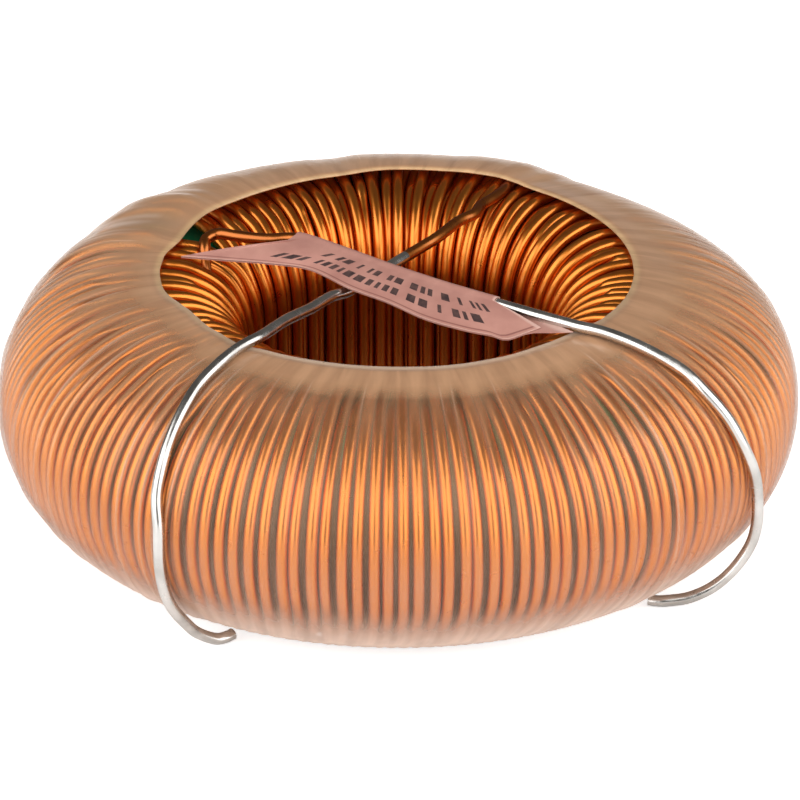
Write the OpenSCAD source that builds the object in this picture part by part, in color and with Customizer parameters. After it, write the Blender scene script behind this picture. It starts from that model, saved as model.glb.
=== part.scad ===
// Toroidal inductor: an insulated ring core, one continuous winding of enamelled wire with two
// formed leads, a thin film sleeve shrunk round the outside, and a folded tag on one lead.
// Millimetres. +Z up along the ring's axis, origin on the axis at the height of the base.

/* [Core] */
// Outside diameter of the core
core_od = 100; // [80:0.5:130]
// Inside diameter of the core
core_id = 52; // [44:0.5:62]
// Height of the core
core_h = 30.8; // [24:0.2:40]
// Radius of the core's corners
core_corner = 7.4; // [6:0.1:9]
// Thickness of the insulation round the core
wrap_t = 0.6; // [0.3:0.05:1]

/* [Wire] */
// Diameter of the enamelled wire
wire_d = 1.7; // [1.4:0.05:2.1]
// Diameter of the bare, tinned stretch of the leads
tinned_d = 1.65; // [1.35:0.05:2.05]
// Angle left open between the first turn and the last
turn_gap = 10; // [6:0.5:14]
// Direction of the middle of that opening, anticlockwise from +X
gap_at = 148; // [142:1:152]

/* [Turns] */
// Depth of the packed turns at the inner wall, in wire diameters
inner_layers = 1.9; // [1.6:0.05:2.3]
// Depth of the packed turns where they cross the top, in wire diameters
crest_layers = 1.6; // [1:0.05:2]
// Play between the insulation and the turns at the inner wall
inner_slack = 0.57; // [0.4:0.01:0.7]
// Play between the insulation and the turns where they cross the top
crest_slack = 0.58; // [0.4:0.01:0.7]
// How far the turns bow out from the insulation at the outside
outer_bow = 5.2; // [4:0.1:6.5]
// Height of the straight part of the inner wall of the turns
wall_h = 14; // [11:0.5:17]
// Width of the rounded shoulder from the inner wall to the top
shoulder_w = 12.9; // [12:0.1:15]

/* [Sleeve] */
// Thickness of the film
film_t = 0.2; // [0.1:0.05:0.3]
// Gap between the film and the turns at the widest place
film_gap = 0.3; // [0.1:0.05:0.6]
// How much wider that gap is at the sleeve's crest
crest_room = 0.25; // [0.15:0.05:0.6]
// How far the sleeve's crest lies inside that of the turns
crest_step = 1.5; // [1:0.1:2.5]
// How far the sleeve's top edge lies outside its crest
rim_step = 0.8; // [0.4:0.1:2]
// Height of the sleeve's bottom edge above the base
foot_lift = 0.37; // [0.2:0.01:1]

/* [Leads] */
// Gap between a lead and the sleeve where it lies on it
lead_clear = 0.15; // [0.1:0.05:0.4]

/* [Tag] */
// Thickness of one layer of the tag
tag_t = 0.25; // [0.15:0.05:0.3]
// Gap round the lead inside the tag's fold
tag_clear = 0.1; // [0.05:0.05:0.2]

/* [Hidden] */
$fn = 96;

wire_r = wire_d / 2;
mid_z = core_h / 2 + wrap_t + crest_slack + crest_layers * wire_d;
hole_r = core_id / 2 - wrap_t - inner_slack - inner_layers * wire_d;
turns_r = core_od / 2 + wrap_t + outer_bow + wire_d;
crest_in_r = hole_r + shoulder_w;
gap_from = gap_at + turn_gap / 2;

outer_r = turns_r + film_gap + film_t;
film_half_h = mid_z + crest_room + film_gap + film_t;
film_top = mid_z + film_half_h;
film_crest_r = crest_in_r - crest_step;
rim_r = film_crest_r + rim_step;

arc_steps = 20;      // straight steps in a quarter of a rounded section
least_gap = 0.2;     // least gap kept between the insulation and the turns
bend_slack = 0.1;    // play between the insulation's corner and the turns that bend round it

// Power n at which u^n + v^n is 1, found by halving: a superellipse of that power, with sides of 1,
// goes through (u, v)
function fullness(u, v, lo = 1, hi = 12, left = 24) =
    let (n = (lo + hi) / 2)
    left == 0 ? n :
    pow(u, n) + pow(v, n) > 1 ? fullness(u, v, n, hi, left - 1) : fullness(u, v, lo, n, left - 1);

// The rounded outside is as full as it takes for the outer turns to bend round the core's corner
bend_r = core_corner + wrap_t + bend_slack + wire_d;
bend_x = core_od / 2 - core_corner + bend_r * cos(45);
bend_z = core_h / 2 - core_corner + bend_r * sin(45);
film_power = fullness((bend_x - film_crest_r) / (turns_r - film_crest_r),
                      bend_z / (mid_z + crest_room));

function sgn_pow(v, p) = sign(v) * pow(abs(v), p);

// Points along a superellipse, from angle a to angle b
function arc(cx, cy, w, h, power, a, b, steps) =
    [for (i = [0:steps]) let (t = a + (b - a) * i / steps)
        [cx + w * sgn_pow(cos(t), 2 / power), cy + h * sgn_pow(sin(t), 2 / power)]];

// Points of the rounded outside, drawn in by a depth, from angle a to angle b
function outside(depth, a, b) =
    arc(film_crest_r, mid_z, outer_r - film_crest_r - depth, film_half_h - depth, film_power,
        a, b, 2 * arc_steps);

// Closed section of the wound ring, drawn in by depths at the inner wall, the top and the outside
function turns_section(d_in, d_top, d_out) =
    let (depth = film_t + film_gap + d_out,
         half_h = mid_z - d_top,
         w_in = crest_in_r - hole_r - d_in,
         rise = half_h - wall_h / 2,
         edge = asin(pow(half_h / (film_half_h - depth), film_power / 2)))
    concat(outside(depth, -edge, edge),
           arc(crest_in_r, mid_z + wall_h / 2, w_in, rise, 2, 90, 180, arc_steps),
           arc(crest_in_r, mid_z - wall_h / 2, w_in, rise, 2, 180, 270, arc_steps));

// ---- lead routes ----
// A point on the sleeve at a bearing, at section angle t, with the wire's own clearance plus lift
function on_skin(bearing, t, lift) =
    let (off = wire_r + lead_clear + lift,
         r = film_crest_r + (outer_r - film_crest_r + off) * sgn_pow(cos(t), 2 / film_power),
         z = mid_z + (film_half_h + off) * sgn_pow(sin(t), 2 / film_power))
    [r * cos(bearing), r * sin(bearing), z];

// A point over the hole: x and y as shares of the rim's radius, height in wire diameters over the rim
function over_hole(x, y, h) = [x * rim_r, y * rim_r, film_top + h * wire_d];

// A point on the inner side of the turns: bearing, angle up the rounded shoulder, depth below it
function in_turns(bearing, t, depth) =
    let (r = crest_in_r - (crest_in_r - hole_r - depth) * cos(t),
         z = mid_z + wall_h / 2 + (mid_z - wall_h / 2 - depth) * sin(t))
    [r * cos(bearing), r * sin(bearing), z];

// Lead A comes up among the turns beside the opening, crosses the hole in the tag's fold,
// runs down over the sleeve and is curled in underneath
lead_a = [
    in_turns(gap_from + 16, 46, wire_d), in_turns(gap_from + 14.5, 56, wire_r),
    in_turns(gap_from + 12.5, 63.5, 0), over_hole(-0.832, 0.245, -0.55),
    over_hole(-0.825, 0.29, -0.15), over_hole(-0.77, 0.312, 0.15), over_hole(-0.68, 0.265, 0.3),
    over_hole(-0.56, 0.215, 0.5), over_hole(-0.43, 0.19, 0.75), over_hole(-0.24, 0.03, 0.85),
    over_hole(-0.04, -0.15, 0.9), over_hole(0.16, -0.31, 0.9), over_hole(0.30, -0.41, 0.9),
    over_hole(0.41, -0.48, 0.85), over_hole(0.59, -0.585, 0.7), over_hole(0.73, -0.67, 0.65),
    on_skin(320, 81, 0), on_skin(322, 68.5, 0), on_skin(324, 54, 0), on_skin(324.5, 43, 0),
    on_skin(325.5, 31, 0), on_skin(326.5, 18, 0), on_skin(328, 5, 0), on_skin(329.3, -7, 0),
    on_skin(330, -18, 0.6), on_skin(329.7, -27, 1.3), on_skin(328.3, -36.5, 1.9),
    on_skin(326.5, -44.5, 2.2), on_skin(324, -50.5, 1.9), on_skin(322, -54.5, 1.2),
    on_skin(320.6, -57.4, 0.62), on_skin(319.8, -60, 0)];
lead_a_bare = 8;     // first point of lead A's bare stretch
tag_from = 8;        // point of lead A at which the tag's fold begins

// Lead B comes up between the turns at the back, passes under the tag and lead A, runs down
// over the sleeve and is curled in underneath
lead_b = [
    in_turns(64, 50, wire_d), in_turns(62.5, 62, 0.2), over_hole(0.385, 0.68, -0.6),
    over_hole(0.33, 0.57, -0.3), over_hole(0.26, 0.49, -0.3), over_hole(0.175, 0.35, -0.45),
    over_hole(0.10, 0.26, -0.65), over_hole(0.03, 0.17, -0.75), over_hole(-0.08, 0.01, -0.75),
    over_hole(-0.205, -0.19, -0.6), over_hole(-0.285, -0.27, -0.45),
    over_hole(-0.365, -0.41, -0.2), over_hole(-0.47, -0.585, 0.3), over_hole(-0.56, -0.76, 0.6),
    on_skin(233, 83, 0), on_skin(233, 73, 0), on_skin(233, 62, 0), on_skin(233.5, 52, 0),
    on_skin(234, 41, 0), on_skin(234.5, 30, 0), on_skin(235, 18, 0), on_skin(236, 6, 0),
    on_skin(236, -7, 0), on_skin(236, -19, 0.2), on_skin(236, -30, 0.3),
    on_skin(236.5, -41, 0.6), on_skin(237, -48, 1.0), on_skin(238.4, -54.8, 1.1),
    on_skin(239.5, -57.4, 0.62), on_skin(240, -60, 0)];
lead_b_bare = 7;     // first point of lead B's bare stretch

sub_steps = 2;       // rings from one point of a route to the next
lead_sides = 10;     // flat faces round a lead

// A smooth route through the points: Catmull-Rom, with rings between them
function route(p) =
    [for (i = [0:len(p) - 2], k = [0:sub_steps - 1])
        let (u = k / sub_steps,
             a = p[max(i - 1, 0)], b = p[i], c = p[i + 1], d = p[min(i + 2, len(p) - 1)])
        0.5 * (2 * b + (c - a) * u + (2 * a - 5 * b + 4 * c - d) * u * u
               + (3 * b - 3 * c + d - a) * u * u * u),
     p[len(p) - 1]];

function unit(v) = v / norm(v);
function tangent(p, i) = unit(p[min(i + 1, len(p) - 1)] - p[max(i - 1, 0)]);

// Side directions carried along a route without twist, from a level one at its start
function sides(p, i = 0, last = [0, 0, 0]) =
    i == len(p) ? [] :
    let (t = tangent(p, i),
         v = i == 0 ? cross(t, [0, 0, 1]) : last - (last * t) * t,
         s = unit(v))
    concat([s], sides(p, i + 1, s));

// Faces that join rings of n points, with a cap made of the given faces at both ends
function tube_faces(rings, n, cap) = concat(
    cap,
    [for (i = [0:rings - 2], k = [0:n - 1])
        let (a = i * n + k, b = i * n + (k + 1) % n)
        each [[a, a + n, b + n], [a, b + n, b]]],
    [for (c = cap) [for (k = [len(c) - 1:-1:0]) (rings - 1) * n + c[k]]]);

module lead(points, bare_from) {
    p = route(points);
    s = sides(p);
    rings = len(p);
    verts = [for (i = [0:rings - 1], k = [0:lead_sides - 1])
        let (t = tangent(p, i), u = cross(t, s[i]),
             r = (i < bare_from * sub_steps ? wire_d : tinned_d) / 2,
             a = 360 * k / lead_sides)
        p[i] + r * (cos(a) * s[i] + sin(a) * u)];
    polyhedron(verts, tube_faces(rings, lead_sides, [[for (k = [0:lead_sides - 1]) k]]),
               convexity = 10);
}

// ---- tag ----
// Free edge of the tag, one point for each of lead A's points in the fold
tag_edge = [
    over_hole(-0.93, 0.10, -0.05), over_hole(-0.55, 0.01, 0.1), over_hole(-0.20, -0.27, 0.3),
    over_hole(0.11, -0.55, 0.2), over_hole(0.44, -0.735, 0.1), over_hole(0.60, -0.66, 0.5)];
tag_inner_r = wire_r + tag_clear;
tag_outer_r = tag_inner_r + tag_t;
tag_slit = 0.03;     // half the gap between the tag's two layers
fold_steps = 12;     // straight steps round the tag's fold

// One side of the folded tag: round the lead at p, where t is its tangent, from edge point e back
// to e, at radius r and at a height y off the tag's middle
function tag_side(p, t, e, r, y) =
    let (v = e - p, out = unit(v - (v * t) * t), up = cross(t, out), a = asin(y / r))
    concat([e + y * up],
           [for (k = [0:fold_steps]) let (b = a + (360 - 2 * a) * k / fold_steps)
               p + r * (cos(b) * out + sin(b) * up)],
           [e - y * up]);

// Half section of a ring with rounded corners, grown by a margin all round
module ring_section(margin) {
    corner = core_corner + margin;
    w = (core_od - core_id) / 2 + 2 * margin;
    h = core_h + 2 * margin;
    translate([core_id / 2 - margin, mid_z - h / 2]) {
        translate([corner, 0]) square([w - 2 * corner, h]);
        translate([0, corner]) square([w, h - 2 * corner]);
        for (x = [corner, w - corner], y = [corner, h - corner])
            translate([x, y]) circle(corner);
    }
}

module core() {
    color("dimgray") rotate_extrude() ring_section(0);
}

module core_wrap() {
    color("seagreen") rotate_extrude() difference() {
        ring_section(wrap_t);
        ring_section(0);
    }
}

module turns() {
    rotate([0, 0, gap_from])
        rotate_extrude(angle = 360 - turn_gap)
            difference() {
                polygon(turns_section(0, 0, 0));
                polygon(turns_section(inner_layers * wire_d, crest_layers * wire_d, wire_d));
                ring_section(wrap_t + least_gap);
            }
}

module winding() {
    color("chocolate") {
        turns();
        lead(lead_a, lead_a_bare);
        lead(lead_b, lead_b_bare);
    }
}

module sleeve() {
    to_rim = acos(pow(rim_step / (outer_r - film_crest_r), film_power / 2));
    to_foot = -asin(pow((mid_z - foot_lift) / film_half_h, film_power / 2));
    color("tan") rotate_extrude()
        polygon(concat(outside(0, to_foot, to_rim), outside(film_t, to_rim, to_foot)));
}

module tag() {
    p = route(lead_a);
    e = route(tag_edge);
    first = tag_from * sub_steps;
    m = fold_steps + 3;
    verts = [for (i = [0:len(e) - 1])
        let (c = p[first + i], t = tangent(p, first + i),
             outer = tag_side(c, t, e[i], tag_outer_r, tag_slit + tag_t),
             inner = tag_side(c, t, e[i], tag_inner_r, tag_slit))
        each concat(outer, [for (k = [m - 1:-1:0]) inner[k]])];
    cap = [for (k = [0:m - 2]) [k, k + 1, 2 * m - 2 - k, 2 * m - 1 - k]];
    color("rosybrown") polyhedron(verts, tube_faces(len(e), 2 * m, cap), convexity = 10);
}

core();
core_wrap();
winding();
sleeve();
tag();
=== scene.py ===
import math
import random

import bpy
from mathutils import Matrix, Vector


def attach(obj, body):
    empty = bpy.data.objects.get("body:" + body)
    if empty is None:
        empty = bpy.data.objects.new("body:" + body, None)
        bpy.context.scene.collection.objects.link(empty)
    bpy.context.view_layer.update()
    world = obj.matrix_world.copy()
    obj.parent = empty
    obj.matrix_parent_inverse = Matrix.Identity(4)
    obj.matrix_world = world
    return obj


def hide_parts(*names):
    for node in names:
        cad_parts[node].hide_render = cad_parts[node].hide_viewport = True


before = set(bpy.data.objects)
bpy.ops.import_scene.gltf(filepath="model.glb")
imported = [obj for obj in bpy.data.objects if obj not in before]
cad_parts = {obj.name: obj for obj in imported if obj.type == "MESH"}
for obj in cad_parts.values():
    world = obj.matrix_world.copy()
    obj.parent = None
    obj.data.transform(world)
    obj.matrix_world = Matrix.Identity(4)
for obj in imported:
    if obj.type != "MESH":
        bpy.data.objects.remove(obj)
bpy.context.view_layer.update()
print("frame loaded:", ", ".join(sorted(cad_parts)))

mm = 0.001


def deselectAll():
    if bpy.context.object and bpy.context.object.mode != "OBJECT":
        bpy.ops.object.mode_set(mode="OBJECT")
    bpy.ops.object.select_all(action="DESELECT")


def signedPower(value, power):
    return math.copysign(abs(value) ** power, value)


def smoothStep(low, high, value):
    share = min(1.0, max(0.0, (value - low) / (high - low)))
    return share * share * (3 - 2 * share)


def onAxis(bearing, radius, height):
    turn = math.radians(bearing)
    return Vector((radius * math.cos(turn), radius * math.sin(turn), height))


def wander(values, share):
    # a smooth line through evenly spaced values
    place = share * (len(values) - 1)
    k = min(int(place), len(values) - 2)
    ease = 0.5 - 0.5 * math.cos(math.pi * (place - k))
    return values[k] * (1 - ease) + values[k + 1] * ease


def between(knots, value):
    # a smooth line through (place, value) pairs
    for (a, ya), (b, yb) in zip(knots, knots[1:]):
        if value <= b:
            ease = 0.5 - 0.5 * math.cos(math.pi * min(1.0, max(0.0, (value - a) / (b - a))))
            return ya + (yb - ya) * ease
    return knots[-1][1]


def aroundRing(knots, bearing):
    return between(knots, (bearing - knots[0][0]) % 360 + knots[0][0])


def faceOutwards(piece, outward):
    # outward says for one face how far it points the right way
    bpy.ops.object.mode_set(mode="EDIT")
    bpy.ops.mesh.select_all(action="SELECT")
    bpy.ops.mesh.normals_make_consistent(inside=False)
    bpy.ops.object.mode_set(mode="OBJECT")
    if sum(outward(face) for face in piece.data.polygons) < 0:
        bpy.ops.object.mode_set(mode="EDIT")
        bpy.ops.mesh.flip_normals()
        bpy.ops.object.mode_set(mode="OBJECT")


def addWall(piece, thickness):
    wall = piece.modifiers.new("wall", "SOLIDIFY")
    wall.thickness = thickness * mm
    wall.offset = -1
    bpy.ops.object.modifier_apply(modifier="wall")


ring = {
    "midHeight": 19.3,        # mm, middle of the coil above the floor
    "crownRadius": 33.0,      # where the rounded outside starts at the top
    "filmRadius": 58.0,
    "filmHalfHeight": 20.05,
    "fullness": 2.1163,       # 2 is an ellipse, more is squarer
    # bearing and height by which the upper shoulder stands up or lies low
    "rises": [(-5, -0.2), (12, -0.7), (30, -0.85), (48, -0.85), (56, -0.75), (60, -0.2), (66, 0.45),
              (73, 0.5), (80, 0.15), (97, 0.2), (103, -0.15), (111, 0.15), (120, 0.25), (130, 0.6),
              (136, 0.45), (140, 0.8), (144, 1.3), (149, 0.95), (154, 0.35), (160, 0.8), (165, 1.0),
              (170, 0.1), (180, 0.0), (355, -0.2)],
    # heights and radii over which that fades in, and radii over which it fades out again
    "riseHeights": (5.0, 16.0),
    "riseRadii": (32.0, 40.0),
    "riseEnds": (48, 57),
    "riseFade": 0.7,
    "lowShare": 0.6,          # share of it that the turns follow where it lies low
}

turns = {
    "wireRadius": 0.85,
    "count": 162,
    "openingAt": 153,         # bearing of the place left open between first turn and last
    # radius and width of that opening in degrees, above and below
    "opening": [(24, 1.2), (30, 9), (34, 13), (39, 13), (45, 10), (58, 10)],
    "openingUnder": [(24, 1.2), (34, 9), (45, 10), (58, 10)],
    "leanOver": 40,           # degrees over which the turns beside it lean
    "pointsPerTurn": 96,
    "startRadius": 36,        # a turn is counted from here, on the underside
    "closer": 2.4,            # how much closer the points are where the wire bends into the hole
    "closerAbove": 2,
    "closerWithin": 44,
    "stepRadii": (46.0, 56.0),
    "firstStep": 2.16,        # degrees
    "perRun": 81,             # turns in one piece
    "bevelSteps": 3,
    "outsideDraw": 1.2,       # wire's centre below the film's outside
    "crestDraw": 1.6,
    "shoulderRadius": 34.5,
    "wallRadius": 22.45,
    "straightWall": 4.5,      # half the height of the straight wall
    "shoulderFullness": 2.25,
    "outsideSteps": 160,
    "shoulderSteps": 60,
    "pairShift": 0.05,        # share by which two neighbours close up outside
    "pairRadii": (42.0, 48.0),
    # how far a turn strays along the ring and in depth: under, low outside, high outside, crown,
    # shoulder, wall, low wall, under
    "sways": (0.05, 0.05, 0.06, 0.07, 0.06, 0.05, 0.05, 0.05),
    "depths": (0.03, 0.03, 0.04, 0.06, 0.06, 0.05, 0.05, 0.05),
    "unevenSpacing": 0.10,
    "unevenInside": (0.18, 0.06),
    "insideRadii": (25.0, 40.0),
    "insideDepth": 0.1,
    # for one turn, the next and the third: share of a step by which it joins the turn before it in
    # the hole, and radii over which that fades out
    "bunching": [(0.0, 27, 43), (0.5, 27, 43), (0.75, 30, 44)],
    "wave": (0.35, 0.21),     # slow drift of the turns in the hole: size, and step for each turn
    "clearance": 0.08,        # between wires that lie in each other's valleys
    "valley": 0.12,           # rounds the climb from one valley to the next
    "buried": 0.45,           # how much deeper the third wire lies
    "buriedRadii": (24, 34),
    "under": 0.03,            # the whole winding lies this much below its drawn section
    "crownDrop": (0.1, 0.5),  # how much lower the crown lies, everywhere and more in front
    "seed": 11,
}


def sectionOutline():
    half = ring["filmHalfHeight"] - turns["outsideDraw"]
    wide = ring["filmRadius"] - turns["outsideDraw"] - ring["crownRadius"]
    flat = ring["filmHalfHeight"] - turns["crestDraw"]
    edge = math.asin((flat / half) ** (ring["fullness"] / 2))
    steps = turns["outsideSteps"]
    line = []
    for i in range(steps + 1):
        angle = -edge + 2 * edge * i / steps
        line.append((ring["crownRadius"] + wide * signedPower(math.cos(angle), 2 / ring["fullness"]),
                     half * signedPower(math.sin(angle), 2 / ring["fullness"])))
    depth = turns["shoulderRadius"] - turns["wallRadius"]
    rise = flat - turns["straightWall"]
    power = 2 / turns["shoulderFullness"]
    steps = turns["shoulderSteps"]
    for side in (1, -1):
        for i in range(steps + 1):
            angle = math.radians(90 * i / steps if side == 1 else 90 - 90 * i / steps)
            line.append((turns["shoulderRadius"] - depth * signedPower(math.sin(angle), power),
                         side * (turns["straightWall"] + rise * abs(math.cos(angle)) ** power)))
    line.append(line[0])
    return line


def coilSection(steps):
    line = sectionOutline()
    # closer steps where the wire bends into the hole
    run, paced = [0.0], [0.0]
    for (r0, z0), (r1, z1) in zip(line, line[1:]):
        size = math.hypot(r1 - r0, z1 - z0)
        bends = z1 > turns["closerAbove"] and r1 < turns["closerWithin"]
        run.append(run[-1] + size)
        paced.append(paced[-1] + size * (turns["closer"] if bends else 1.0))
    start = next(k for k in range(len(line)) if line[k][0] > turns["startRadius"])
    places = []
    for i in range(steps):
        goal = (paced[start] + paced[-1] * i / steps) % paced[-1]
        k = min(max(j for j in range(len(paced)) if paced[j] <= goal), len(line) - 2)
        part = (goal - paced[k]) / max(1e-9, paced[k + 1] - paced[k])
        r = line[k][0] + (line[k + 1][0] - line[k][0]) * part
        z = line[k][1] + (line[k + 1][1] - line[k][1]) * part
        far = run[k] + (run[k + 1] - run[k]) * part - run[start]
        places.append((r, z, (far % run[-1]) / run[-1]))
    # (radius, height, inward radius, inward height, share of the way round)
    section = []
    for i, (r, z, share) in enumerate(places):
        before, after = places[i - 1], places[(i + 1) % steps]
        dr, dz = after[0] - before[0], after[1] - before[1]
        size = math.hypot(dr, dz)
        section.append((r, z, -dz / size, dr / size, share))
    return section


rng = random.Random(turns["seed"])


def stray(reach):
    return rng.uniform(-reach, reach)


sways, depths, spots = [], [], []
for k in range(turns["count"]):
    sways.append([sways[-1][-1] if k else 0.0] + [stray(reach) for reach in turns["sways"]])
    depths.append([depths[-1][-1] if k else 0.0] + [stray(reach) for reach in turns["depths"]])
    spots.append((spots[-1] if k else 0.0) + 1 + stray(turns["unevenSpacing"]))
spots = [(spot - 0.5) / spots[-1] for spot in spots]
inward = [[stray(reach) for reach in turns["unevenInside"]] for _ in range(turns["count"])]


def turnPlaces(r, upper):
    # (bearing, depth) of every turn at one radius; in the hole one turn in three lies on top,
    # the next shows between the top ones and the third is buried until the ring widens
    opening = between(turns["opening"] if upper else turns["openingUnder"], r)
    wide = turns["opening"][-1][1]
    step = (360 - wide) / turns["count"]
    close = turns["pairShift"] * smoothStep(*turns["pairRadii"], r)
    inside = 1 - smoothStep(*turns["insideRadii"], r)
    waveSize, waveStep = turns["wave"]
    bearings = []
    for k, spot in enumerate(spots):
        far = (360 - wide) * spot + step * close * (1 if k % 2 else -1)
        share, low, high = turns["bunching"][k % 3]
        shift = share * (1 - smoothStep(low, high, r))
        shift += inside * (inward[k][0] + waveSize * math.sin(waveStep * k))
        # only the turns near the opening lean towards it or away
        near = max(0.0, 1 - far / turns["leanOver"]) ** 2
        near -= max(0.0, 1 - (360 - wide - far) / turns["leanOver"]) ** 2
        bearings.append(turns["openingAt"] + wide / 2 + far + step * shift + (opening - wide) / 2 * near)
    width = 2 * turns["wireRadius"] + turns["clearance"]
    places = []
    for k, bearing in enumerate(bearings):
        top = inside * (turns["insideDepth"] + inward[k][1])
        over = 0.0
        for other in (k - 2, k - 1, k + 1, k + 2):
            if k % 3 > (other % turns["count"]) % 3:
                gap = abs((bearings[other % turns["count"]] - bearing + 180) % 360 - 180)
                over = max(over, width ** 2 - (math.radians(gap) * r) ** 2)
        nest = over / math.sqrt(over + turns["valley"])
        if k % 3 == 2:
            nest += turns["buried"] * (1 - smoothStep(*turns["buriedRadii"], r))
        places.append((bearing, top + nest))
    return places


def liftAt(bearing, r, z):
    share = smoothStep(*ring["riseHeights"], z) * smoothStep(*ring["riseRadii"], r)
    share *= 1 - ring["riseFade"] * smoothStep(*ring["riseEnds"], r)
    return aroundRing(ring["rises"], bearing) * share


def turnPlace(k, share, r, z, places):
    # the step from one turn to the next lies on the underside
    onUnderside = z < 0 and share < 0.4
    onward = smoothStep(*turns["stepRadii"], r) if onUnderside else 1.0
    bearing, nest = places[k]
    if onward < 1:
        before, nestBefore = places[k - 1] if k else (bearing - turns["firstStep"], nest)
        bearing = before + (bearing - before) * onward
        nest = nestBefore + (nest - nestBefore) * onward
    return bearing + wander(sways[k], share), nest + turns["under"] + wander(depths[k], share)


def woundPath(section, first, last):
    tables = [turnPlaces(spot[0], spot[1] > 0) for spot in section]
    stops = [(k, i) for k in range(first, last) for i in range(len(section))]
    if last < turns["count"]:
        stops.append((last, 0))   # meets the next piece there
    path = []
    crownDrop, frontDrop = turns["crownDrop"]
    for k, i in stops:
        r, z, inR, inZ, share = section[i]
        bearing, nest = turnPlace(k, share, r, z, tables[i])
        # the crown lies a little lower, most of all towards the front
        crown = smoothStep(10.0, 16.0, z) * (1 - smoothStep(36.5, 42.0, r)) * smoothStep(25.0, 29.0, r)
        front = smoothStep(0.35, 0.75, -math.sin(math.radians(bearing)))
        nest += crown * (crownDrop + frontDrop * front)
        lift = liftAt(bearing, r, z)
        lift *= 1.0 if lift > 0 else ring["lowShare"]
        path.append(onAxis(bearing, r + inR * nest, ring["midHeight"] + z + inZ * nest + lift) * mm)
    return path


def wireAlong(name, path, radii, bevelSteps):
    deselectAll()
    bpy.ops.curve.primitive_nurbs_path_add(location=(0, 0, 0))
    wire = bpy.context.object
    wire.name = name
    curve = wire.data
    curve.splines.clear()
    spline = curve.splines.new("POLY")
    spline.points.add(len(path) - 1)
    for point, place, radius in zip(spline.points, path, radii):
        point.co = (*place, 1.0)
        point.radius = radius
    curve.dimensions = "3D"
    curve.bevel_depth = mm
    curve.bevel_resolution = bevelSteps
    curve.use_fill_caps = True
    bpy.ops.object.convert(target="MESH")
    bpy.ops.object.shade_smooth()
    return bpy.context.object


section = coilSection(turns["pointsPerTurn"])
coils = []
for first in range(0, turns["count"], turns["perRun"]):
    path = woundPath(section, first, first + turns["perRun"])
    name = "coil_%d" % (len(coils) + 1)
    coils.append(wireAlong(name, path, [turns["wireRadius"]] * len(path), turns["bevelSteps"]))
print("turns wound:", turns["count"], "faces", sum(len(coil.data.polygons) for coil in coils))

lead = {
    "enamelRadius": 0.85,
    "tinnedRadius": 0.825,
    "skinGap": 0.15,          # between a lead and the film it lies on
    "rimRadius": 33.8,        # places over the hole are shares of this
    # the turns' inner shoulder, where lead A comes up: radius, width, foot and height
    "shoulder": (34.5, 12.9, 7, 12.3),
    "bareFromA": 9,           # point of the route from which the wire is bare
    "bareFromB": 9.4,
    "solder": (-0.02, 0.03),  # least and most that the tinning adds
    "solderKnots": 60,
    "stepsPerPoint": 5,
    "bevelSteps": 6,
}


def onSkin(bearing, angle, lift):
    off = lead["enamelRadius"] + lead["skinGap"] + lift
    turn = math.radians(angle)
    wide = ring["filmRadius"] - ring["crownRadius"] + off
    high = ring["filmHalfHeight"] + off
    return onAxis(bearing,
                  ring["crownRadius"] + wide * signedPower(math.cos(turn), 2 / ring["fullness"]),
                  ring["midHeight"] + high * signedPower(math.sin(turn), 2 / ring["fullness"]))


def overHole(x, y, lift):
    top = ring["midHeight"] + ring["filmHalfHeight"]
    return Vector((x * lead["rimRadius"], y * lead["rimRadius"], top + 2 * lead["enamelRadius"] * lift))


def inTurns(bearing, angle, depth):
    radius, wide, foot, high = lead["shoulder"]
    turn = math.radians(angle)
    return onAxis(bearing,
                  radius - (wide - depth) * math.cos(turn),
                  ring["midHeight"] + foot + (high - depth) * math.sin(turn))


# lead A comes up beside the opening and crosses the hole in the tag's fold
leadARoute = [
    inTurns(169, 46, 3.2), inTurns(167.5, 56, 2.0), inTurns(165.5, 63.5, 0.4),
    overHole(-0.832, 0.245, -0.55), overHole(-0.825, 0.29, -0.15), overHole(-0.77, 0.312, 0.15),
    overHole(-0.68, 0.265, 0.3), overHole(-0.56, 0.215, 0.5), overHole(-0.43, 0.19, 0.75),
    overHole(-0.24, 0.03, 0.85), overHole(-0.04, -0.15, 0.9), overHole(0.16, -0.31, 0.9),
    overHole(0.30, -0.41, 0.9), overHole(0.41, -0.48, 0.85), overHole(0.59, -0.585, 0.7),
    overHole(0.73, -0.67, 0.65),
    onSkin(320, 81, 0), onSkin(322, 68.5, 0), onSkin(324, 54, 0), onSkin(324.5, 43, 0),
    onSkin(325.5, 31, 0), onSkin(326.5, 18, 0), onSkin(328, 5, 0), onSkin(329.3, -7, 0),
    onSkin(330, -18, 0.6), onSkin(329.7, -27, 1.3), onSkin(328.3, -36.5, 1.9),
    onSkin(326.5, -44.5, 2.2), onSkin(324, -50.5, 1.9), onSkin(322, -54.5, 1.2),
    onSkin(320.6, -57.4, 0.62), onSkin(319.8, -60, 0),
]
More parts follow.
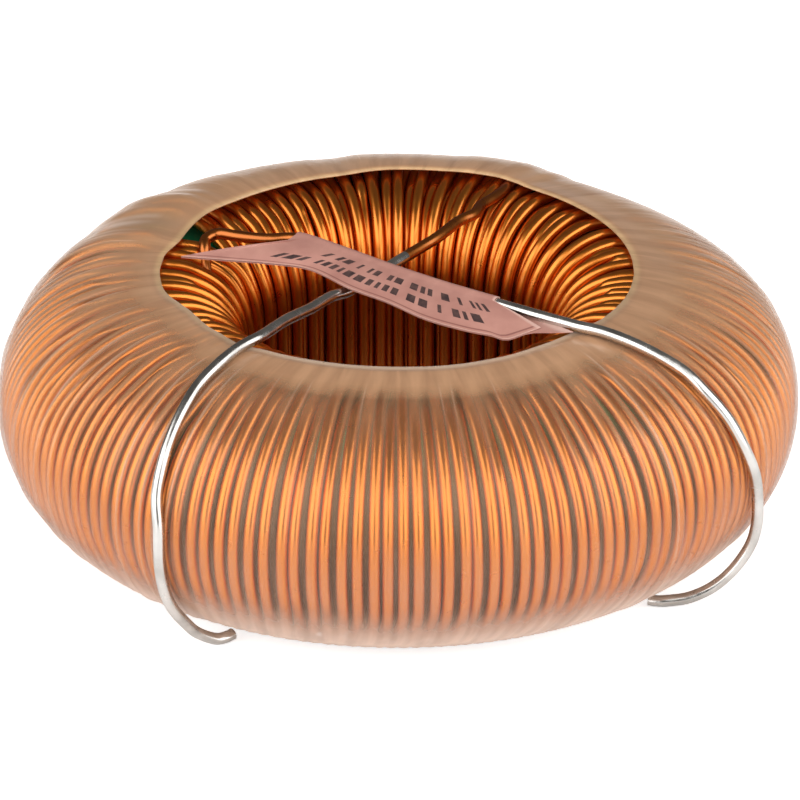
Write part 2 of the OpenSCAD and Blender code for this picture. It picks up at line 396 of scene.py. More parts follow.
# lead B starts among the turns and passes under the tag and lead A
leadBRoute = [
    onAxis(63.5, 39.0, 37.3), onAxis(62.6, 36.0, 37.95), onAxis(61.6, 32.4, 38.35),
    onAxis(61.2, 29.0, 38.6), onAxis(61.8, 25.6, 38.65), overHole(0.33, 0.57, -0.3),
    overHole(0.26, 0.49, -0.3), overHole(0.175, 0.35, -0.45),
    overHole(0.10, 0.26, -0.65), overHole(0.03, 0.17, -0.75), overHole(-0.08, 0.01, -0.75),
    overHole(-0.205, -0.19, -0.6), overHole(-0.285, -0.27, -0.45), overHole(-0.365, -0.41, -0.2),
    overHole(-0.47, -0.585, 0.3), overHole(-0.56, -0.76, 0.6),
    onSkin(233, 83, 0), onSkin(233, 73, 0), onSkin(233, 62, 0), onSkin(233.5, 52, 0),
    onSkin(234, 41, 0), onSkin(234.5, 30, 0), onSkin(235, 18, 0), onSkin(236, 6, 0),
    onSkin(236, -7, 0), onSkin(236, -19, 0.2), onSkin(236, -30, 0.3), onSkin(236.5, -41, 0.6),
    onSkin(237, -48, 1.0), onSkin(238.4, -54.8, 1.1), onSkin(239.5, -57.4, 0.62),
    onSkin(240, -60, 0),
]


def smoothRoute(points, steps):
    # Catmull-Rom through the points
    line = []
    for i in range(len(points) - 1):
        a, b = points[max(i - 1, 0)], points[i]
        c, d = points[i + 1], points[min(i + 2, len(points) - 1)]
        for k in range(steps):
            u = k / steps
            line.append(0.5 * (2 * b + (c - a) * u + (2 * a - 5 * b + 4 * c - d) * u * u
                               + (3 * b - 3 * c + d - a) * u ** 3))
    line.append(points[-1])
    return line


def makeLead(name, route, bareFrom):
    line = smoothRoute(route, lead["stepsPerPoint"])
    bare = round(bareFrom * lead["stepsPerPoint"])
    rng = random.Random(name)
    solder = [rng.uniform(*lead["solder"]) for _ in range(lead["solderKnots"])]
    radii = []
    for i in range(len(line)):
        if i < bare:
            radii.append(lead["enamelRadius"])
        else:
            radii.append(lead["tinnedRadius"] + wander(solder, i / len(line)))
    wire = wireAlong(name, [place * mm for place in line], radii, lead["bevelSteps"])
    ringSize = 4 + 2 * lead["bevelSteps"]   # points in one ring of the wire's mesh
    for face in wire.data.polygons:
        if len(face.vertices) == 4:
            step = min(face.vertices) // ringSize
            face.material_index = 1 if step >= bare else 0
        else:
            face.material_index = 1 if min(face.vertices) > ringSize else 0
    return wire


leadA = makeLead("lead_a", leadARoute, lead["bareFromA"])
leadB = makeLead("lead_b", leadBRoute, lead["bareFromB"])
print("leads formed")

film = {
    "along": 44,
    "perTurn": 4,
    "gapColumns": 12,         # columns over the opening between the last turn and the first
    "thickness": 0.2,
    "footHeight": 0.45,
    "meanRim": 33.8,
    "rimEase": 0.06,          # share of its width over which an edge drawn inwards levels out
    "sag": 0.10,              # how far it dips between two turns
    "crease": 0.12,           # how far a crease stands up
    "sagRadii": (38, 43),
    "creaseRadii": (38, 41),
    "calmBehind": 0.75,       # share by which dips and creases are less behind
    # bearings between which the creases are shorter, the share left and the radii where they end
    "calmFront": (242, 305),
    "calmShare": 0.5,
    "calmRadii": (43.0, 48.0),
    # bearing and radius of the cut top edge
    "rim": [(2, 33.8), (14, 33.8), (27, 33.8), (38, 33.8), (51, 34.0), (64, 35.0), (77, 34.9),
            (90, 34.8), (109, 33.5), (130, 33.2), (148, 33.5), (164, 32.9), (175, 34.0),
            (184, 34.3), (193, 34.4), (208, 33.2), (221, 33.8), (230, 34.4), (237.5, 33.8),
            (251, 33.7), (270, 33.7), (282, 33.9), (295, 33.7), (307, 33.3), (318, 33.2),
            (329, 33.9), (341, 34.0), (353, 33.9), (362, 33.8)],
    # bearing and width of the cloudy lip inside the edge
    "lip": [(20, 4.6), (60, 4.4), (110, 4.2), (150, 2.4), (185, 2.2), (212, 2.8), (235, 4.6), (260, 5.6),
            (300, 5.8), (340, 5.6), (380, 4.6)],
    # bearing and share of gaps in which the film is creased
    "creased": [(0, 0.15), (40, 0.05), (130, 0.1), (150, 0.2), (200, 0.26), (235, 0.24), (250, 0.14),
                (300, 0.14), (315, 0.22), (345, 0.2), (360, 0.15)],
    # bearing and how cloudy the upper half is away from the turns
    "veil": [(0, 0.50), (60, 0.58), (140, 0.58), (165, 0.46), (200, 0.34), (232, 0.28), (250, 0.17),
             (290, 0.17), (310, 0.28), (340, 0.40), (360, 0.50)],
    "lowVeil": 0.11,
    "veilHeights": (2.0, 15.0),
    # bearing and radius from which it lies on the turns
    "rests": [(0, 42), (60, 45), (140, 45), (165, 41), (200, 39), (232, 39), (250, 38), (290, 38),
              (310, 39), (340, 40), (360, 42)],
    # how much the lip's end and that radius differ from one turn to the next
    "unevenLip": 1.6,
    "unevenRests": 8,
    "seed": 5,
}


def shareAt(r, z):
    # place along the turns' section nearest to a point of the film's section
    best, found = 1e9, 0.0
    for i, (r0, z0, _, _, share0) in enumerate(section):
        r1, z1, _, _, share1 = section[(i + 1) % len(section)]
        part = ((r - r0) * (r1 - r0) + (z - z0) * (z1 - z0)) / ((r1 - r0) ** 2 + (z1 - z0) ** 2)
        part = min(1.0, max(0.0, part))
        apart = math.hypot(r - r0 - (r1 - r0) * part, z - z0 - (z1 - z0) * part)
        if apart < best:
            best, found = apart, share0 + ((share1 - share0) % 1.0) * part
    return found


def filmSection(rim, share, sag):
    power = 2 / ring["fullness"]
    wide = ring["filmRadius"] - ring["crownRadius"] - sag
    high = ring["filmHalfHeight"] - sag
    edge = max(0.0, (rim - ring["crownRadius"]) / wide)
    top = math.acos(edge ** (1 / power))
    foot = -math.asin(((ring["midHeight"] - film["footHeight"]) / high) ** (1 / power))
    angle = top + (foot - top) * share
    r = ring["crownRadius"] + wide * signedPower(math.cos(angle), power)
    if rim < ring["crownRadius"]:
        r -= (ring["crownRadius"] - rim) * (1 - smoothStep(0, film["rimEase"], share))
    return r, high * signedPower(math.sin(angle), power)


columns = []                  # (turn number, share of the way to the next turn)
for k in range(turns["count"] - 1):
    columns += [(k, i / film["perTurn"]) for i in range(film["perTurn"])]
columns += [(turns["count"] - 1, i / film["gapColumns"]) for i in range(film["gapColumns"])]

rows = []                     # bearings of all turns, for every row of the film
for j in range(film["along"] + 1):
    r, z = filmSection(film["meanRim"], j / film["along"], 0.0)
    share = shareAt(r, z)
    places = turnPlaces(r - 0.4, z > 0)
    rows.append([turnPlace(k, share, r, z, places)[0] for k in range(turns["count"])])

rng = random.Random(film["seed"])
creases, rests = [], []
for k in range(turns["count"] + 1):
    creases.append(rng.random())
    rests.append(rng.random())


def creasedAt(k, at, r):
    if creases[k] >= between(film["creased"], at):
        return 0.0
    creased = smoothStep(*film["creaseRadii"], r)
    if film["calmFront"][0] < at < film["calmFront"][1]:
        creased *= film["calmShare"] * (1 - smoothStep(*film["calmRadii"], r))
    return creased


def filmPlace(j, k, part):
    # (bearing, radius, height, edge radius, creased) in row j, part of the way from turn k
    here = rows[j][k]
    onward = rows[j][k + 1] if k + 1 < turns["count"] else rows[j][0] + 360
    bearing = here + (onward - here) * part
    at = bearing % 360
    r, z = filmSection(film["meanRim"], j / film["along"], 0.0)
    calm = 1 - film["calmBehind"] * smoothStep(0.1, 0.5, math.sin(math.radians(at)))
    dip = (1 - abs(2 * part - 1)) * smoothStep(*film["sagRadii"], r) * calm
    if k + 1 == turns["count"]:
        dip = 0.0
    creased = creasedAt(k, at, r)
    ridge = creased * calm if part == 0.5 else 0.0
    sag = film["sag"] * dip * (1 - creased) - film["crease"] * ridge
    rim = aroundRing(film["rim"], bearing)
    r, z = filmSection(rim, j / film["along"], sag)
    return bearing, r, z, rim, creased


def filmLooks(k, part, place):
    # (cloudy lip, creased, resting on the turns, cloudiness away from them)
    bearing, r, z, rim, creased = place
    lipEnd = rim + aroundRing(film["lip"], bearing)
    lipEnd += film["unevenLip"] * (rests[k] * (1 - part) + rests[k + 1] * part - 0.5)
    cloudy = 1 - smoothStep(lipEnd - 1.2, lipEnd + 2.4, r) if z > 0 else 0.0
    nearest = k if part < 0.5 else k + 1
    restsFrom = between(film["rests"], bearing % 360) + film["unevenRests"] * rests[nearest]
    resting = smoothStep(restsFrom - 2.5, restsFrom + 4.5, r) if z > 0 else 1.0
    veil = between(film["veil"], bearing % 360) - film["lowVeil"]
    veil = film["lowVeil"] + veil * smoothStep(*film["veilHeights"], z)
    return cloudy, creased if 0.0 < part < 1.0 else 0.0, resting, veil


def makeSleeve():
    deselectAll()
    bpy.ops.mesh.primitive_grid_add(x_subdivisions=len(columns), y_subdivisions=film["along"], size=1)
    piece = bpy.context.object
    piece.name = "film_sleeve"
    turnMap, looks = [], []
    for vertex in piece.data.vertices:
        i, j = round((vertex.co.x + 0.5) * len(columns)), round((0.5 - vertex.co.y) * film["along"])
        k, part = columns[i % len(columns)]
        place = filmPlace(j, k, part)
        bearing, r, z = place[:3]
        vertex.co = onAxis(bearing, r, ring["midHeight"] + z + liftAt(bearing, r, z)) * mm
        turnMap.append((k + part if i < len(columns) else turns["count"], j / film["along"]))
        looks.append(filmLooks(k, part, place))
    filmTone = piece.data.color_attributes.new(name="filmTone", type="FLOAT_COLOR", domain="POINT")
    for entry, look in zip(filmTone.data, looks):
        entry.color = look
    layout = piece.data.uv_layers[0]
    for loop in piece.data.loops:
        layout.data[loop.index].uv = turnMap[loop.vertex_index]
    # the grid's two ends meet
    bpy.ops.object.mode_set(mode="EDIT")
    bpy.ops.mesh.select_all(action="SELECT")
    bpy.ops.mesh.remove_doubles(threshold=0.000002)
    faceOutwards(piece, lambda face: face.normal.dot(Vector((face.center.x, face.center.y, 0))))
    addWall(piece, film["thickness"])
    bpy.ops.object.shade_smooth()
    return piece


sleeve = makeSleeve()
print("film sleeve faces", len(sleeve.data.polygons))

tag = {
    "along": 72,
    "across": 14,
    "fold": 10,
    "thickness": 0.12,
    "gap": 0.05,              # between its two layers
    "clear": 0.1,             # round the lead inside the fold
    "longer": 5.2,            # how far the lower layer shows past the upper one's end
    "tongue": (0, 1.2, 0.3),  # how its end is turned in and up from there
    "notch": 1.7,             # how far the cut end stands back from the fold
    "skewCells": 5,           # cells over which that end runs askew
    "lateFrom": 0.965,        # share of the way along from which the lower layer reaches out
    "fromPoint": 8,           # points of lead A's route between which the fold lies
    "toPoint": 13,
    "leaves": 62,             # degrees up the lead's side where the upper layer leaves it
    "bulge": 0.25,
    "bulgeReach": 6.0,
    "smoothAngle": 40,
}
tagEdge = [
    overHole(-0.928, 0.102, -0.15), overHole(-0.739, 0.060, -0.09), overHole(-0.546, 0.011, 0.03),
    overHole(-0.375, -0.063, 0.15), overHole(-0.203, -0.268, 0.26), overHole(-0.043, -0.402, 0.21),
    overHole(0.111, -0.552, 0.09), overHole(0.281, -0.652, -0.03), overHole(0.380, -0.690, -0.09),
    overHole(0.445, -0.733, -0.09), overHole(0.520, -0.705, 0.15), overHole(0.591, -0.667, 0.38),
]


def evenly(line, count):
    run = [0.0]
    for a, b in zip(line, line[1:]):
        run.append(run[-1] + (b - a).length)
    places = []
    k = 0
    for i in range(count):
        goal = run[-1] * i / (count - 1)
        while k < len(line) - 2 and run[k + 1] < goal:
            k += 1
        places.append(line[k].lerp(line[k + 1], (goal - run[k]) / (run[k + 1] - run[k])))
    return places


def tagAcross(centre, forward, edge, notch):
    # one line across the tag: up the upper layer, round the lead, back under to the edge
    toEdge = edge - centre
    out = (toEdge - forward * toEdge.dot(forward)).normalized()
    up = forward.cross(out)
    if up.z < 0:
        up = -up
    inner = lead["enamelRadius"] + tag["clear"] + tag["thickness"]
    half = tag["gap"] / 2 + tag["thickness"]
    line = []
    reach = toEdge.dot(out)
    start = math.asin(half / inner)
    leaves = math.radians(tag["leaves"])
    flat = edge + up * half
    top = centre + (out * math.cos(leaves) + up * math.sin(leaves)) * inner
    for i in range(tag["across"]):
        share = i / tag["across"]
        place = flat.lerp(top, share)
        place += up * tag["bulge"] * math.sin(math.pi * share) * smoothStep(0.0, tag["bulgeReach"], reach)
        place.y -= notch * share
        line.append(place)
    for i in range(tag["fold"] + 1):
        angle = leaves + (2 * math.pi - leaves - start - leaves) * i / tag["fold"]
        line.append(centre + (out * math.cos(angle) + up * math.sin(angle)) * inner)
    bottom = line[-1]
    low = edge - up * half
    for i in range(1, tag["across"] + 1):
        line.append(bottom.lerp(low, i / tag["across"]))
    return line


def makeTag():
    steps = lead["stepsPerPoint"]
    fold = smoothRoute(leadARoute, steps)[tag["fromPoint"] * steps:tag["toPoint"] * steps + 1]
    foldLine = evenly(fold, tag["along"] + 1)
    edgeLine = evenly(smoothRoute(tagEdge, 6), tag["along"] + 1)
    across = 2 * tag["across"] + tag["fold"]
    deselectAll()
    bpy.ops.mesh.primitive_grid_add(x_subdivisions=tag["along"], y_subdivisions=across, size=1)
    piece = bpy.context.object
    piece.name = "tag_label"
    lines = []
    for i, (centre, edge) in enumerate(zip(foldLine, edgeLine)):
        before, after = foldLine[max(0, i - 1)], foldLine[min(tag["along"], i + 1)]
        forward = (after - before).normalized()
        notch = tag["notch"] * (1 - smoothStep(0, tag["skewCells"], i))
        line = tagAcross(centre, forward, edge, notch)
        # the lower layer is the longer one, and ends in a tongue beside the lead
        onward = forward * tag["longer"] + Vector(tag["tongue"])
        late = smoothStep(tag["lateFrom"], 1.0, i / tag["along"])
        folded = tag["across"] + tag["fold"]
        for j in range(folded + 1, across + 1):
            line[j] += onward * late * smoothStep(folded - 1, folded + 3, j)
        lines.append(line)
    for vertex in piece.data.vertices:
        i, j = round((vertex.co.x + 0.5) * tag["along"]), round((vertex.co.y + 0.5) * across)
        vertex.co = lines[i][j] * mm
    upper = (tag["along"] + 1) * tag["across"]
    faceOutwards(piece, lambda face: face.normal.z if max(face.vertices) < upper else 0)
    addWall(piece, tag["thickness"])
    bpy.ops.object.shade_smooth_by_angle(angle=math.radians(tag["smoothAngle"]))
    return piece, lines


tagPiece, tagLines = makeTag()


def onTag(share, up, lift):
    # a point over the tag's upper layer: share along it, up from its free edge
    x, y = share * tag["along"], up * tag["across"]
    i, j = min(int(x), tag["along"] - 1), min(int(y), tag["across"] - 1)
    low = tagLines[i][j].lerp(tagLines[i + 1][j], x - i)
    high = tagLines[i][j + 1].lerp(tagLines[i + 1][j + 1], x - i)
    normal = (tagLines[i + 1][j] - tagLines[i][j]).cross(tagLines[i][j + 1] - tagLines[i][j])
    normal.normalize()
    if normal.z < 0:
        normal = -normal
    return low.lerp(high, y - j) + normal * lift


# plain bars that spell nothing
marks = {
    # first and last share along the tag, place up it, height, seed
    "rows": [(0.26, 0.91, 0.68, 0.19, 3), (0.17, 0.88, 0.34, 0.19, 8)],
    "widths": (0.012, 0.018, 0.022, 0.030),
    "gaps": (0.011, 0.013, 0.034),
    "lift": 0.012,
    "thickness": 0.01,
    "steps": 5,
}


def makeMarks():
    pieces = []
    for start, end, up, high, seed in marks["rows"]:
        rng = random.Random(seed)
        at = start
        while at < end:
            wide = rng.choice(marks["widths"])
            deselectAll()
            bpy.ops.mesh.primitive_grid_add(x_subdivisions=marks["steps"], y_subdivisions=2, size=1)
            mark = bpy.context.object
            for vertex in mark.data.vertices:
                share = at + wide * (vertex.co.x + 0.5)
                vertex.co = onTag(share, up + high * vertex.co.y, marks["lift"]) * mm
            pieces.append(mark)
            at += wide + rng.choice(marks["gaps"])
    deselectAll()
    for mark in pieces:
        mark.select_set(True)
    bpy.context.view_layer.objects.active = pieces[0]
    bpy.ops.object.join()
    joined = bpy.context.object
    joined.name = "tag_marks"
    faceOutwards(joined, lambda face: face.normal.z)
    addWall(joined, marks["thickness"])
    return joined


tagMarks = makeMarks()
print("tag folded")

# darker and lighter tone of each finish, and what is mixed into it
colours = {
    "enamel": ((0.70, 0.200, 0.021), (0.78, 0.240, 0.030)),
    # painted shade: a darker copy of the enamel for the leads, for the dark they reflect from above
    "shaded lead enamel": ((0.40, 0.110, 0.018), (0.52, 0.155, 0.026)),
    "enamel sheen": (0.55, 0.32, 0.2, 1),
    "tin": ((0.46, 0.44, 0.41), (0.78, 0.76, 0.73)),
    "film": ((0.60, 0.335, 0.215), (0.68, 0.390, 0.205)),
    "film lip": (0.56, 0.308, 0.165),
    "film crease": (0.72, 0.48, 0.33),
    # painted light: a paler film foot, for the light it gets from the floor
    "floor-lit film foot": (0.72, 0.52, 0.41),
    # painted highlight along the film's cut edge
    "film cut edge highlight": (0.74, 0.47, 0.24),
    "film sheen": (1.0, 0.80, 0.68, 1),
    "tag": ((0.44, 0.205, 0.165), (0.54, 0.27, 0.215)),
    # painted shadow line near the tag's free edge
    "tag edge shadow": (0.20, 0.070, 0.055),
    "tag pale edge": (0.66, 0.42, 0.35),
    "print": ((0.045, 0.025, 0.025), (0.13, 0.07, 0.06)),
    "wrap": ((0.004, 0.13, 0.05), (0.012, 0.22, 0.09)),
    # painted shade on the wrap's sides
    "shaded wrap": (0.020, 0.018, 0.012),
    "core": ((0.02, 0.02, 0.022), (0.07, 0.07, 0.072)),
}
# how cloudy the film is: shares from 0, clear, to 1, and heights in metres
haziness = {
    "clear": (0.20, 0.08),    # where it lies on the turns, low down and high up
    "clearHeights": (0.016, 0.025),
    "lip": 0.84,
    "foot": 0.70,
    "footHeights": (0.002, 0.014),
    "streaks": (0.78, 1.14),
    "streakAlong": 0.55,      # streaks for each turn, and down the film's width
    "streakDown": 4.0,
    "crease": 0.17,
    "edgeOn": 0.60,           # more where it is seen edge on
    "most": 0.98,
    "toneHeights": (0.016, 0.030),
    "floorLightTone": 0.85,
    "cutEdgeHighlight": (0.004, 0.016),
}


def setInputs(node, **values):
    for name, value in values.items():
        node.inputs[name.replace("_", " ")].default_value = value


def newFinish(name):
    finish = bpy.data.materials.new(name)
    finish.use_nodes = True
    tree = finish.node_tree
    return finish, tree.nodes, tree.links, tree.nodes["Principled BSDF"]


def addNoise(nodes, links, scale, detail=3.0):
    place = nodes.new("ShaderNodeTexCoord")
    noise = nodes.new("ShaderNodeTexNoise")
    setInputs(noise, Scale=scale, Detail=detail)
    links.new(place.outputs["Object"], noise.inputs["Vector"])
    return noise.outputs["Fac"]


def addRamp(nodes, links, value, tones, low=0.3, high=0.7):
    ramp = nodes.new("ShaderNodeValToRGB")
    for point, at, tone in zip(ramp.color_ramp.elements, (low, high), tones):
        point.position = at
        point.color = (*tone, 1)
    links.new(value, ramp.inputs["Fac"])
    return ramp.outputs["Color"]


def addRange(nodes, links, value, low, high, toLow, toHigh, smooth=True):
    fit = nodes.new("ShaderNodeMapRange")
    setInputs(fit, From_Min=low, From_Max=high, To_Min=toLow, To_Max=toHigh)
    if smooth:
        fit.interpolation_type = "SMOOTHSTEP"
    links.new(value, fit.inputs["Value"])
    return fit.outputs["Result"]


def addMath(nodes, links, operation, *values):
    step = nodes.new("ShaderNodeMath")
    step.operation = operation
    for socket, value in zip(step.inputs, values):
        if isinstance(value, (int, float)):
            socket.default_value = value
        else:
            links.new(value, socket)
    return step.outputs["Value"]


def addBlend(nodes, links, factor, base, over):
    # over covers base as far as the factor says; one of them may be a plain colour
    blend = nodes.new("ShaderNodeMix")
    blend.data_type = "RGBA"
    links.new(factor, blend.inputs["Factor"])
    for socket, tone in ((blend.inputs["A"], base), (blend.inputs["B"], over)):
        if isinstance(tone, tuple):
            socket.default_value = (*tone, 1)
        else:
            links.new(tone, socket)
    return blend.outputs["Result"]


def addPlace(nodes, links, output):
    place = nodes.new("ShaderNodeTexCoord")
    axes = nodes.new("ShaderNodeSeparateXYZ")
    links.new(place.outputs[output], axes.inputs["Vector"])
    return axes.outputs


def addBump(nodes, links, surface, height, strength, distance):
    bump = nodes.new("ShaderNodeBump")
    setInputs(bump, Strength=strength, Distance=distance)
    links.new(height, bump.inputs["Height"])
    links.new(bump.outputs["Normal"], surface.inputs["Normal"])


def metalFinish(name, tones, scale, fineScale, smoothest, roughest):
    finish, nodes, links, surface = newFinish(name)
    noise = addNoise(nodes, links, scale)
    links.new(addRamp(nodes, links, noise, tones), surface.inputs["Base Color"])
    fine = addNoise(nodes, links, fineScale)
    rough = addRange(nodes, links, fine, 0.3, 0.7, smoothest, roughest, smooth=False)
    links.new(rough, surface.inputs["Roughness"])
    setInputs(surface, Metallic=1.0)
    return finish, noise


def enamelFinish(name, tones):
    finish = metalFinish(name, tones, 90, 600, 0.27, 0.35)[0]
    setInputs(finish.node_tree.nodes["Principled BSDF"],
              Specular_Tint=colours["enamel sheen"], Coat_Weight=0.4, Coat_Roughness=0.16)
    return finish


def tinnedFinish():
    finish, noise = metalFinish("tinned copper", colours["tin"], 160, 700, 0.16, 0.30)
    nodes, links = finish.node_tree.nodes, finish.node_tree.links
    addBump(nodes, links, nodes["Principled BSDF"], noise, 0.25, 0.0002)
    return finish


def filmFinish():
    finish, nodes, links, surface = newFinish("shrunk film")

    def calc(operation, *values):
        return addMath(nodes, links, operation, *values)

    def ease(value, span, toLow, toHigh):
        return addRange(nodes, links, value, *span, toLow, toHigh)

    height = addPlace(nodes, links, "Object")["Z"]
    uv = addPlace(nodes, links, "UV")
    toneAt = nodes.new("ShaderNodeAttribute")
    toneAt.attribute_name = "filmTone"
    tones = nodes.new("ShaderNodeSeparateColor")
    links.new(toneAt.outputs["Color"], tones.inputs["Color"])
    lip, creased, resting = tones.outputs["Red"], tones.outputs["Green"], tones.outputs["Blue"]
    veil = toneAt.outputs["Alpha"]
    # distance from the nearest turn, 0 on it and 1 half way to the next
    turnAt = calc("ADD", uv["X"], 0.5)
    apart = calc("MULTIPLY", calc("ABSOLUTE", calc("SUBTRACT", calc("FRACT", turnAt), 0.5)), 2.0)
    contact = calc("MULTIPLY", resting, ease(apart, (0.25, 0.85), 1.0, 0.0))
    # cloudy lip and bottom, clearer where it lies on the turns
    clear = ease(height, haziness["clearHeights"], *haziness["clear"])
    haze = calc("SUBTRACT", veil, calc("MULTIPLY", contact, calc("SUBTRACT", veil, clear)))
    haze = calc("ADD", haze, calc("MULTIPLY", lip, calc("SUBTRACT", haziness["lip"], haze)))
    low = ease(height, haziness["footHeights"], 1.0, 0.0)
    haze = calc("ADD", haze, calc("MULTIPLY", low, haziness["foot"]))
    # uneven along the turns
    streak = nodes.new("ShaderNodeTexNoise")
    setInputs(streak, Scale=1.0, Detail=3.0)
    spread = nodes.new("ShaderNodeCombineXYZ")
    links.new(calc("MULTIPLY", uv["X"], haziness["streakAlong"]), spread.inputs["X"])
    links.new(calc("MULTIPLY", uv["Y"], haziness["streakDown"]), spread.inputs["Y"])
    links.new(spread.outputs["Vector"], streak.inputs["Vector"])
    haze = calc("MULTIPLY", haze, ease(streak.outputs["Fac"], (0.32, 0.68), *haziness["streaks"]))
    fold = calc("MULTIPLY", creased, ease(apart, (0.74, 1.0), 0.0, 1.0))
    haze = calc("ADD", haze, calc("MULTIPLY", fold, haziness["crease"]))
    # seen edge on there is more film to look through
    slant = nodes.new("ShaderNodeLayerWeight")
    setInputs(slant, Blend=0.3)
    graze = calc("POWER", slant.outputs["Facing"], 2.8)
    haze = calc("ADD", haze, calc("MULTIPLY", graze, haziness["edgeOn"]))
    links.new(calc("MINIMUM", haze, haziness["most"]), surface.inputs["Alpha"])
    high = ease(height, haziness["toneHeights"], 0.0, 1.0)
    tone = addRamp(nodes, links, high, colours["film"], 0.0, 1.0)
    tone = addBlend(nodes, links, lip, tone, colours["film lip"])
    tone = addBlend(nodes, links, fold, tone, colours["film crease"])
    # painted light: the foot is painted paler for the light from the floor
    foot = calc("MULTIPLY", low, haziness["floorLightTone"])
    tone = addBlend(nodes, links, foot, tone, colours["floor-lit film foot"])
    # a painted highlight along the cut edge, where it catches the light
    edge = ease(uv["Y"], haziness["cutEdgeHighlight"], 1.0, 0.0)
    tone = addBlend(nodes, links, edge, tone, colours["film cut edge highlight"])
    links.new(tone, surface.inputs["Base Color"])
    setInputs(surface, Roughness=0.32, IOR=1.6, Specular_IOR_Level=0.5,
              Coat_Weight=0.3, Coat_Roughness=0.15,
              Sheen_Weight=0.30, Sheen_Roughness=0.35, Sheen_Tint=colours["film sheen"])
    return finish


def tagFinish():
    finish, nodes, links, surface = newFinish("printed tag stock")
    noise = addNoise(nodes, links, 260, 5)
    tone = addRamp(nodes, links, noise, colours["tag"])
    # a painted shadow line just inside the free edge, where the edge of one layer shades the other, and a
    # lighter tone along the free edge and the cut end
    uv = addPlace(nodes, links, "UV")
    fromLine = addMath(nodes, links, "ABSOLUTE", addMath(nodes, links, "SUBTRACT", uv["Y"], 0.027))
    edgeShadow = addRange(nodes, links, fromLine, 0.003, 0.008, 0.75, 0.0)
    tone = addBlend(nodes, links, edgeShadow, tone, colours["tag edge shadow"])
    freeEdge = addRange(nodes, links, uv["Y"], 0.002, 0.010, 0.8, 0.0)
    cutEnd = addRange(nodes, links, uv["X"], 0.986, 0.994, 0.0, 0.9)
    paleEdges = addMath(nodes, links, "MAXIMUM", freeEdge, cutEnd)
    tone = addBlend(nodes, links, paleEdges, tone, colours["tag pale edge"])
    links.new(tone, surface.inputs["Base Color"])
    setInputs(surface, Roughness=0.42)
    addBump(nodes, links, surface, noise, 0.2, 0.00008)
    return finish


def markFinish():
    finish, nodes, links, surface = newFinish("print grey")
    tone = addRamp(nodes, links, addNoise(nodes, links, 900), colours["print"], 0.35, 0.75)
    links.new(tone, surface.inputs["Base Color"])
    setInputs(surface, Roughness=0.5)
    return finish


def wrapFinish():
    finish, nodes, links, surface = newFinish("green insulation")
    tone = addRamp(nodes, links, addNoise(nodes, links, 120), colours["wrap"])
    # painted shade: darker down the sides, which lie deep between the turns
    top = addRange(nodes, links, addPlace(nodes, links, "Object")["Z"], 0.028, 0.034, 0.0, 1.0)
    links.new(addBlend(nodes, links, top, colours["shaded wrap"], tone), surface.inputs["Base Color"])
    setInputs(surface, Roughness=0.35, Coat_Weight=0.3, Coat_Roughness=0.1)
    return finish


def coreFinish():
    finish, nodes, links, surface = newFinish("pressed iron powder")
    tone = addRamp(nodes, links, addNoise(nodes, links, 900, 6), colours["core"])
    links.new(tone, surface.inputs["Base Color"])
    setInputs(surface, Roughness=0.7, Metallic=0.4)
    return finish


enamel = enamelFinish("enamelled copper", colours["enamel"])
# painted shade: the leads get the coil's enamel made darker, for the dark they reflect from above
shadedLeadEnamel = enamelFinish("enamelled copper on the leads, darkened as shade", colours["shaded lead enamel"])
tinned = tinnedFinish()
for wire in coils:
    wire.data.materials.append(enamel)
for wire in (leadA, leadB):
    wire.data.materials.append(shadedLeadEnamel)
    wire.data.materials.append(tinned)
sleeve.data.materials.append(filmFinish())
tagPiece.data.materials.append(tagFinish())
tagMarks.data.materials.append(markFinish())
for name, finish in (("core_wrap", wrapFinish()), ("core", coreFinish())):
    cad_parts[name].data.materials.clear()
    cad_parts[name].data.materials.append(finish)
print("finishes on")

standIns = [
    (coils[0], "winding", "wire"), (coils[1], "winding", "wire"), (leadA, "winding", "wire"),
    (leadB, "winding", "wire"), (sleeve, "sleeve", "film"), (tagPiece, "tag", "tag"),
    (tagMarks, "tag", "tag"),
]
for piece, node, slotName in standIns:
    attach(piece, "root")
    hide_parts(node)

studio = {
    "floorSize": 12.0,
    "floorDrop": 0.0002,
    "floorGlow": (0.046, 0.070, 0.38),     # radii over which it starts to shine, and how much
    "floorSeen": (0.0365, 0.0385, 0.7),    # the same where the camera sees it
    "boxDistance": 1.0,
    "boxWide": 1.5,
    "boxHigh": 1.15,
    "boxPower": 13.0,
    "boxBearing": 54.0,       # to each side of the camera
    "boxRise": 29.0,
    "skyColour": (1, 0.95, 0.9, 1),
    "skyStrength": 0.12,
    "cameraAt": (0, -0.7309, 0.3731),
    "cameraDown": 25.83,      # degrees
    "cameraShift": (0.0021, -0.0114),
    "sensor": 36,
    "lens": 251.4,
    "farthest": 20,
}

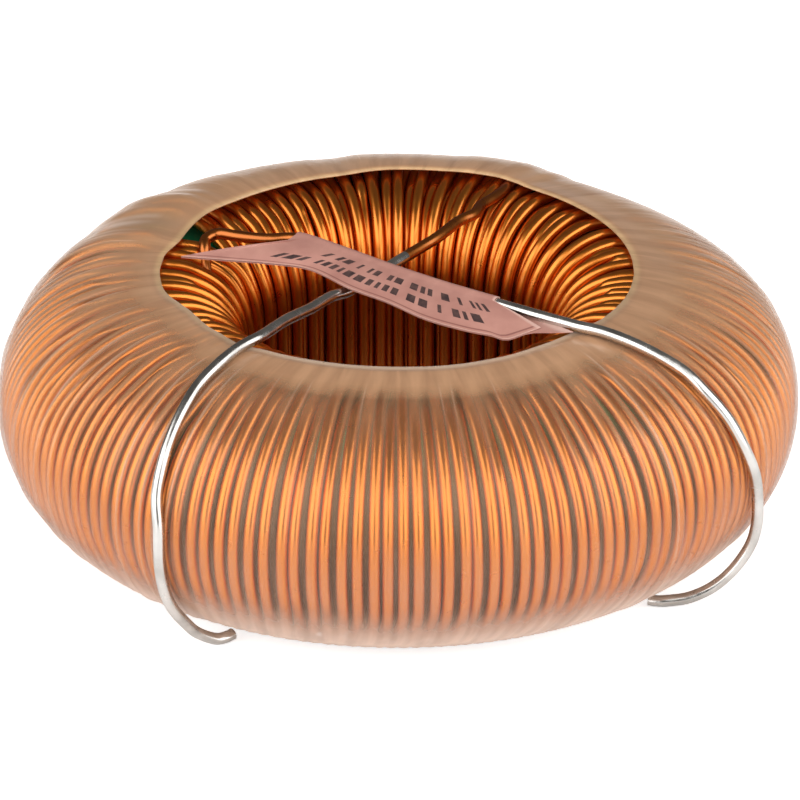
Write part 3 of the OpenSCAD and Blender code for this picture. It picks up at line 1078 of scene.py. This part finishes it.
bpy.ops.mesh.primitive_plane_add(size=studio["floorSize"], location=(0, 0, -studio["floorDrop"]))
floor = bpy.context.object
floor.name = "floor"
floorFinish, nodes, links, surface = newFinish("white floor")
setInputs(surface, Base_Color=(0.85, 0.85, 0.85, 1), Roughness=0.6, Emission_Color=(1, 1, 1, 1))
seen = nodes.new("ShaderNodeLightPath")
place = nodes.new("ShaderNodeTexCoord")
away = nodes.new("ShaderNodeVectorMath")
away.operation = "LENGTH"
links.new(place.outputs["Object"], away.inputs[0])
glowFrom, glowTo, glowMost = studio["floorGlow"]
glow = addRange(nodes, links, away.outputs["Value"], glowFrom, glowTo, 0.0, glowMost)
seenFrom, seenTo, seenMost = studio["floorSeen"]
clearOf = addRange(nodes, links, away.outputs["Value"], seenFrom, seenTo, 0.0, seenMost)
lift = addMath(nodes, links, "MULTIPLY", seen.outputs["Is Camera Ray"], clearOf)
links.new(addMath(nodes, links, "MAXIMUM", glow, lift), surface.inputs["Emission Strength"])
floor.data.materials.append(floorFinish)

for side in (-1, 1):
    turn = math.radians(-90 + side * studio["boxBearing"])
    rise = math.radians(studio["boxRise"])
    place = Vector((math.cos(turn) * math.cos(rise), math.sin(turn) * math.cos(rise), math.sin(rise)))
    bpy.ops.object.light_add(type="AREA", location=place * studio["boxDistance"])
    box = bpy.context.object
    box.name = "softbox " + ("left" if side < 0 else "right")
    box.data.shape = "RECTANGLE"
    box.data.size = studio["boxWide"]
    box.data.size_y = studio["boxHigh"]
    box.data.energy = studio["boxPower"]
    box.rotation_euler = (-place).to_track_quat("-Z", "Y").to_euler()

world = bpy.data.worlds.new("studio")
bpy.context.scene.world = world
world.use_nodes = True
setInputs(world.node_tree.nodes["Background"], Color=studio["skyColour"], Strength=studio["skyStrength"])

tilt = math.radians(90 - studio["cameraDown"])
bpy.ops.object.camera_add(location=studio["cameraAt"], rotation=(tilt, 0, 0))
camera = bpy.context.object
camera.data.sensor_width = studio["sensor"]
camera.data.lens = studio["lens"]
camera.data.shift_x, camera.data.shift_y = studio["cameraShift"]
camera.data.clip_end = studio["farthest"]
bpy.context.scene.camera = camera
bpy.context.scene.view_settings.view_transform = "Standard"
print("studio ready")
